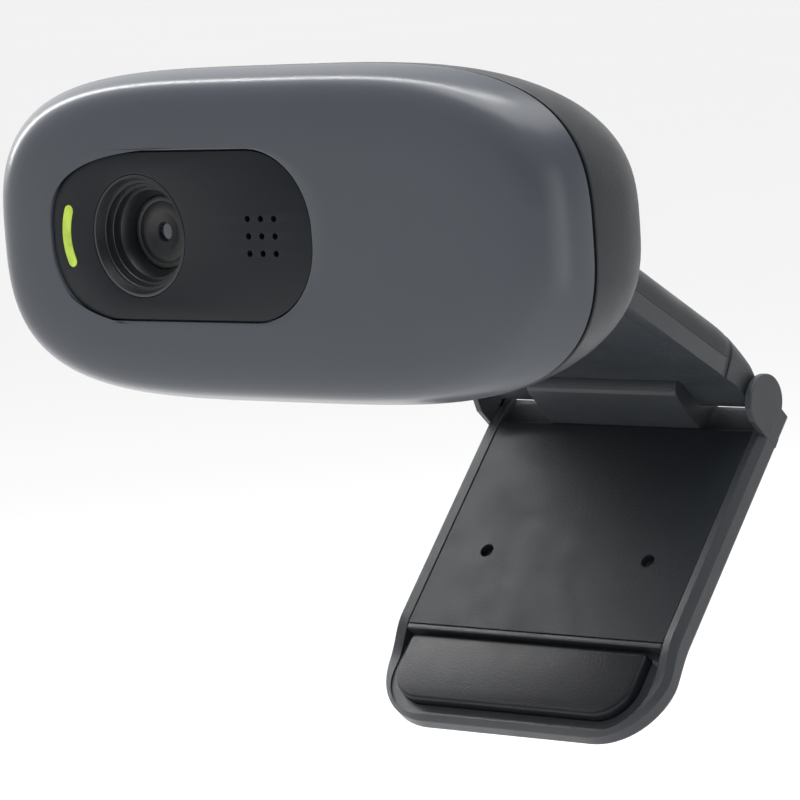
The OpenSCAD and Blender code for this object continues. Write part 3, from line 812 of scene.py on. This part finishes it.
def arm_section(x0, x1, y, low, top, steps=28):
    """Closed ring at depth y from x0 to x1 between the underside and the crown."""
    ring = [(x0, y, low), (x1, y, low)]
    seam = min(SEAM_Z, (low + top) / 2)
    ends = [max(-1.0, min(1.0, x / ARM_HALF)) for x in (x1, x0)]
    angles = [math.acos(signed_power(v, 2.5)) for v in ends]
    for i in range(steps + 1):
        a = angles[0] + (angles[1] - angles[0]) * i / steps
        x = ARM_HALF * signed_power(math.cos(a), 0.4)
        z = seam + (top - seam) * max(math.sin(a), 0) ** 0.667
        ring.append((x, y, max(z, low + 0.02)))
    return ring


def spaced(low, high, count):
    return [low + (high - low) * i / (count - 1) for i in range(count)]


def arm_loft(bm, x0, x1, depths):
    add_rings(bm, [arm_section(x0, x1, y, arm_bottom(y), arm_top(y)) for y in depths])


def make_arm_base():
    piece = None
    nose_end = NOSE_AT[0] + NOSE_R
    tip = -TILT_REACH - EAR_R
    ear_depths = [-TILT_REACH - EAR_R * math.cos(math.pi / 2 * k / 10) for k in range(0, 10)]
    ear_depths[0] = tip + 0.02
    ear_depths += [-TILT_REACH, SLOT_FRONT]
    nose_depths = spaced(SLOT_BACK - 1.2, 19.0, 14)
    nose_depths += [nose_end - NOSE_R * (1 - math.sin(math.pi / 2 * k / 9)) for k in range(1, 10)]
    nose_depths[-1] = nose_end - 0.01
    nose_depths = sorted(nose_depths)
    for x0, x1 in ((SLOT_HALF, ARM_HALF), (-ARM_HALF, -SLOT_HALF)):
        for depths in (ear_depths, nose_depths):
            bm = bmesh.new()
            arm_loft(bm, x0, x1, depths)
            part = raw_object(bm, "ear")
            if depths is ear_depths:
                cut(part, [(disc(-TILT_REACH, EAR_R, SHAFT_R, 40), -20, 20, "X")])
            else:
                cut(part, [(disc(FOLD_REACH, FOLD_UP, PIN_R + 0.03, 32), -20, 20, "X")])
            if piece is None:
                piece = part
            else:
                join(piece, part)
    bar = bmesh.new()
    arm_loft(bar, -ARM_HALF, ARM_HALF, spaced(SLOT_BACK - 2, SLOT_BACK, 4))
    middle = Vector((0, SLOT_BACK - 1, 2.7))
    for vert in bar.verts:
        vert.co = middle + (vert.co - middle) * (1 - PROUD / 3)
    join(piece, raw_object(bar, "bar"))
    slab = bmesh.new()
    corners = [(-ARM_HALF, 0), (ARM_HALF, 0), (ARM_HALF, SEAM_Z), (-ARM_HALF, SEAM_Z)]
    prism(slab, corners, SLOT_FRONT, SLOT_BACK - 2)
    slab_piece = raw_object(slab, "slab")
    screw_x, screw_y = ARM_SCREW
    cut(slab_piece, [(disc(sx * screw_x, screw_y, ARM_SCREW_R, 40), -1, 0.9, "Z") for sx in (-1, 1)])
    join(piece, slab_piece)
    dress(piece, ARM, "clip_plastic", bevel=0.2, angle=42)
    piece.name = "arm_frame"
    settle(piece, "arm", "clip_plastic", "arm_base")


def make_arm_cap():
    rings = []
    for y in spaced(SLOT_FRONT + 0.05, SLOT_BACK - 2.05, 30):
        ring = arm_section(-ARM_HALF, ARM_HALF, y, 0, arm_top(y), 60)
        rings.append(ring[2:])
    bm = bmesh.new()
    add_rings(bm, rings)
    piece = object_from(bm, "arm_crown", ARM, "cap_plastic", bevel=0.2, angle=50)
    settle(piece, "arm", "cap_plastic", "arm_cap")


# ---- Foot ----

def smooth_step(value, low, high):
    t = max(0.0, min(1.0, (value - low) / (high - low)))
    return t * t * (3 - 2 * t)


def toe_share(z):
    """0 on the straight rims, 1 on the toe."""
    return 1 - smooth_step(z, -32.9, -28.0)


def foot_outline(inset, top=FOOT_TOP, corner_steps=16, side_steps=44):
    """U-shaped outline, from the left end of the top to the right: points in X and Z."""
    half = FOOT_HALF - inset
    low = inset - FOOT_LENGTH
    r = FOOT_CORNER - inset
    side = [(-half, z) for z in spaced(top, low + r, side_steps)]
    corner = arc_points(-half + r, low + r, r, 180, 270, corner_steps)[1:]
    floor = [(x, low) for x in spaced(-half + r, 0, 10)[1:-1]]
    left = side + corner + floor
    return left + [(-x, z) for x, z in reversed(left)]


def foot_ring(inset, depth, top=FOOT_TOP):
    """Outline ring whose depth is a function of its height."""
    return [(x, depth(z), z) for x, z in foot_outline(inset, top)]


def span(bm, ring, flip=False):
    """Closes a U-shaped ring with strips across the foot."""
    count = len(ring)
    lowest = min(v.co.z for v in ring)
    last = next(i for i in range(count) if ring[i + 1].co.z - lowest < MERGE)
    for i in range(last):
        a, b = ring[i], ring[i + 1]
        c, d = ring[count - 2 - i], ring[count - 1 - i]
        bm.faces.new((a, b, c, d) if flip else (d, c, b, a))
    rest = ring[last:count - last]
    bm.faces.new(rest if flip else rest[::-1])


def rim_depth(rim, toe):
    """Depth that runs from one value on the rims to another on the toe."""
    return lambda z: rim + (toe - rim) * toe_share(z)


def make_foot_body(bm):
    back = rim_depth(FOOT_BACK_Y, TOE_BACK_Y)
    rings = [
        foot_ring(0.35, back),
        foot_ring(0.1, lambda z: back(z) - 0.1),
        foot_ring(0.0, lambda z: back(z) - 0.35),
        foot_ring(0.0, rim_depth(RIM_EDGE_Y + 0.08, TOE_Y + 0.62)),
        foot_ring(0.04, rim_depth(RIM_EDGE_Y - 0.06, TOE_Y + 0.5)),
        foot_ring(0.42, rim_depth(RIM_Y + 0.12, TOE_Y + 0.02)),
        foot_ring(0.50, rim_depth(RIM_Y + 0.02, TOE_Y - 0.06)),
        foot_ring(0.62, rim_depth(RIM_Y, TOE_Y - 0.07)),
        foot_ring(1.55, rim_depth(PANEL_Y - 0.06, TOE_Y)),
        foot_ring(1.62, rim_depth(PANEL_Y + 0.04, TOE_Y)),
        foot_ring(1.64, rim_depth(PANEL_Y + PANEL_T + 0.1, TOE_Y + 0.02)),
    ]
    made = []
    for ring in rings:
        made.append([bm.verts.new(p) for p in ring])
    for a, b in zip(made, made[1:]):
        for i in range(len(a) - 1):
            bm.faces.new((a[i], a[i + 1], b[i + 1], b[i]))
    span(bm, made[0])
    span(bm, made[-1], flip=True)
    ends = [ring[0] for ring in made]
    bm.faces.new(ends)
    bm.faces.new([ring[-1] for ring in made][::-1])
    top = [made[0][0], made[0][-1], made[-1][-1], made[-1][0]]
    bm.faces.new(top)


def pad_outline(gap, steps=14):
    """Outline of the pad, grown by a gap."""
    half = PAD_HALF + gap
    corner = 4 + gap
    low = PAD_Z - PAD_H - gap
    top_r = 0.6
    return (
        arc_points(half - top_r, PAD_Z + gap - top_r, top_r, 0, 90, 5)
        + arc_points(top_r - half, PAD_Z + gap - top_r, top_r, 90, 180, 5)
        + arc_points(corner - half, low + corner, corner, 180, 270, steps)
        + arc_points(half - corner, low + corner, corner, 270, 360, steps)
    )


def make_foot_frame():
    bm = bmesh.new()
    make_foot_body(bm)
    piece = raw_object(bm, "foot_tray")
    cut(piece, [(pad_outline(0.04), 0, PAD_FLOOR_Y, "Y")])
    pocket = disc(0, 0, POCKET_R, 64)
    cut(piece, [(pocket, KNUCKLE_HALF, CHEEK_X, "X"), (pocket, -CHEEK_X, -KNUCKLE_HALF, "X")])
    groove(piece)
    ledge = bmesh.new()
    half = PANEL_HALF - 0.02
    ledge_outline = [(-half, STEP_Z), (half, STEP_Z), (half, PANEL_LOW_Z - 0.03), (-half, PANEL_LOW_Z - 0.03)]
    prism(ledge, ledge_outline, PANEL_Y + 0.03, FOOT_BACK_Y - 0.1)
    floor = [(-PANEL_HALF, STEP_Z + 0.1), (PANEL_HALF, STEP_Z + 0.1), (PANEL_HALF, -2.9), (-PANEL_HALF, -2.9)]
    prism(ledge, floor, PANEL_Y + PANEL_T + 0.01, FOOT_BACK_Y - 0.15)
    knuckle = [
        (FOOT_BACK_Y, -2.85), (0.7, -2.9), (-2.45, -2.76), (-2.9, -2.68), (-3.25, -2.48), (-3.5, -2.2),
        (-3.72, -1.8), (-3.84, -1.45), (-3.82, -1.15), (-3.65, -0.8), (-3.2, -0.2), (-1.6, 1.9),
    ]
    knuckle += arc_points(0, 0, 2.6, 125, 35, 16)
    knuckle += [(3.4, 1.25), (FOOT_BACK_Y, 0.4)]
    prism(ledge, knuckle, -KNUCKLE_HALF, KNUCKLE_HALF, "X")
    extras = raw_object(ledge, "ledge")
    soften(extras, 0.16, 40)
    join(piece, extras)
    cheeks = bmesh.new()
    outer = FOOT_HALF + PROUD
    for low, high in ((CHEEK_X, outer), (-outer, -CHEEK_X)):
        prism(cheeks, cheek_outline(), low, high, "X")
    cheek_piece = raw_object(cheeks, "cheeks")
    soften(cheek_piece, 0.3, 40)
    join(piece, cheek_piece)
    dress(piece, FOOT, "clip_plastic", angle=32, sharp=14)
    settle(piece, "foot", "clip_plastic", "foot_frame")


def cheek_outline():
    """Side view of a cheek: a disc that runs on down into its rim."""
    cy, cz = CHEEK_AT
    front = arc_points(cy, cz, CHEEK_R, 200, 90, 24)
    back = arc_points(cy, cz, CHEEK_R, 90, -28, 28)[1:]
    return [(RIM_Y + 0.05, -3.4), (0.2, cz - CHEEK_R + 0.12), (-1.2, cz - 2.2)] + front + back + [
        (FOOT_BACK_Y - 0.1, -2.2), (FOOT_BACK_Y - 0.02, -3.4)]


def groove(piece):
    """Shallow sunken border round the pad."""
    cut(piece, [(pad_outline(1.2), 0, TOE_Y + 0.16, "Y")])


def make_panel():
    half = PANEL_HALF - 0.04
    low = PANEL_LOW_Z + 0.02
    bm = bmesh.new()
    outline = [(-half, low), (half, low), (half, PANEL_TOP_Z), (-half, PANEL_TOP_Z)]
    prism(bm, outline, PANEL_Y + 0.01, PANEL_Y + PANEL_T)
    piece = raw_object(bm, "foot_inlay")
    cut(piece, [(disc(sx * PEG[0], PEG[1], 0.75), 0, 9, "Y") for sx in (-1, 1)])
    dress(piece, FOOT, "panel_plastic", bevel=0.07, angle=45, sharp=12)
    settle(piece, "foot", "panel_plastic", "foot_panel")


def make_pad():
    bm = bmesh.new()
    prism(bm, pad_outline(-0.03), PAD_Y, PAD_FLOOR_Y)
    piece = object_from(bm, "grip_pad", FOOT, "pad_rubber", bevel=0.35, angle=50)
    settle(piece, "foot", "pad_rubber", "foot_pad")


# ---- Stage ----

# Middle of the bright part of the room: above the object and behind it.
BACKDROP = (-0.42, 0.52, 0.74)


def make_floor():
    low = CAD_BOX[0]
    depth = 0.035
    steps = 24
    bm = bmesh.new()
    bmesh.ops.create_grid(bm, x_segments=steps, y_segments=steps, size=12)
    mesh = bpy.data.meshes.new("floor")
    bm.to_mesh(mesh)
    bm.free()
    floor = bpy.data.objects.new("floor", mesh)
    floor.location = (0, 0, low.z - depth)
    bpy.context.scene.collection.objects.link(floor)
    material, nodes, links = new_material("floor")
    shader = nodes["Principled BSDF"]
    shade = add_noise(nodes, links, 3, 2, 0, 1)
    links.new(tint(nodes, links, shade, (0.93, 0.93, 0.93), 0.004), shader.inputs["Base Color"])
    shader.inputs["Roughness"].default_value = 0.9
    floor.data.materials.append(material)


def add_area(name, place, aim, size, power):
    """Soft area light that looks at a point, in metres; its first side is level."""
    light = bpy.data.lights.new(name, "AREA")
    light.shape = "RECTANGLE"
    light.size, light.size_y = size
    light.energy = power
    lamp = bpy.data.objects.new(name, light)
    lamp.location = place
    direction = Vector(aim) - Vector(place)
    lamp.rotation_euler = direction.to_track_quat("-Z", "Y").to_euler()
    bpy.context.scene.collection.objects.link(lamp)


def make_world():
    """White above and on the far side, dimmer on the near side."""
    world = bpy.data.worlds.new("studio")
    world.use_nodes = True
    nodes, links = world.node_tree.nodes, world.node_tree.links
    place = nodes.new("ShaderNodeTexCoord")
    facing = nodes.new("ShaderNodeVectorMath")
    facing.operation = "DOT_PRODUCT"
    facing.inputs[1].default_value = BACKDROP
    level = nodes.new("ShaderNodeMapRange")
    level.inputs["From Min"].default_value = -0.3
    level.inputs["From Max"].default_value = 0.7
    level.inputs["To Min"].default_value = 0.20
    level.inputs["To Max"].default_value = 1.20
    links.new(place.outputs["Generated"], facing.inputs[0])
    links.new(facing.outputs["Value"], level.inputs["Value"])
    nodes["Background"].inputs["Color"].default_value = (1, 1, 1, 1)
    links.new(level.outputs["Result"], nodes["Background"].inputs["Strength"])
    bpy.context.scene.world = world


def make_lights():
    make_world()
    add_area("top_softbox", (0.03, -0.10, 0.32), (0, 0, 0.01), (0.34, 0.20), 0.9)
    add_area("edge_strip", (-0.10, -0.025, 0.145), (0, -0.035, 0.025), (0.010, 0.34), 0.42)
    add_area("right_strip", (0.25, -0.22, 0.0), (0.03, -0.03, 0.01), (0.007, 0.25), 0.10)


def make_camera():
    """Camera at the photograph's angle; the roll and distance come from its perspective."""
    azimuth = math.radians(39.657)
    elevation = math.radians(7.495)
    roll = math.radians(-4.143)
    distance = 375
    aim = HEAD @ Vector((8.91, 4.62, -16.20))
    flat = math.cos(elevation)
    back = Vector((math.sin(azimuth) * flat, -math.cos(azimuth) * flat, math.sin(elevation)))
    level = Vector((math.cos(azimuth), math.sin(azimuth), 0))
    upright = back.cross(level)
    right = level * math.cos(roll) + upright * math.sin(roll)
    up = back.cross(right)
    camera = bpy.data.cameras.new("camera")
    camera.lens = 179.35
    camera.sensor_width = 36
    camera.clip_start = 0.01
    camera.clip_end = 100
    holder = bpy.data.objects.new("camera", camera)
    turn = Matrix((right, up, back)).transposed().to_4x4()
    holder.matrix_world = Matrix.Translation(aim + back * distance * MM) @ turn
    bpy.context.scene.collection.objects.link(holder)
    bpy.context.scene.camera = holder
    bpy.context.scene.view_settings.view_transform = "Standard"


make_camera()
paint_cad_nodes()
make_front_cover()
make_rear_cover()
make_bezel()
make_light_guide()
make_baffle()
make_barrel()
make_front_lens()
make_tilt_bracket()
make_grommet()
make_arm_base()
make_arm_cap()
make_foot_frame()
make_panel()
make_pad()
make_floor()
make_lights()
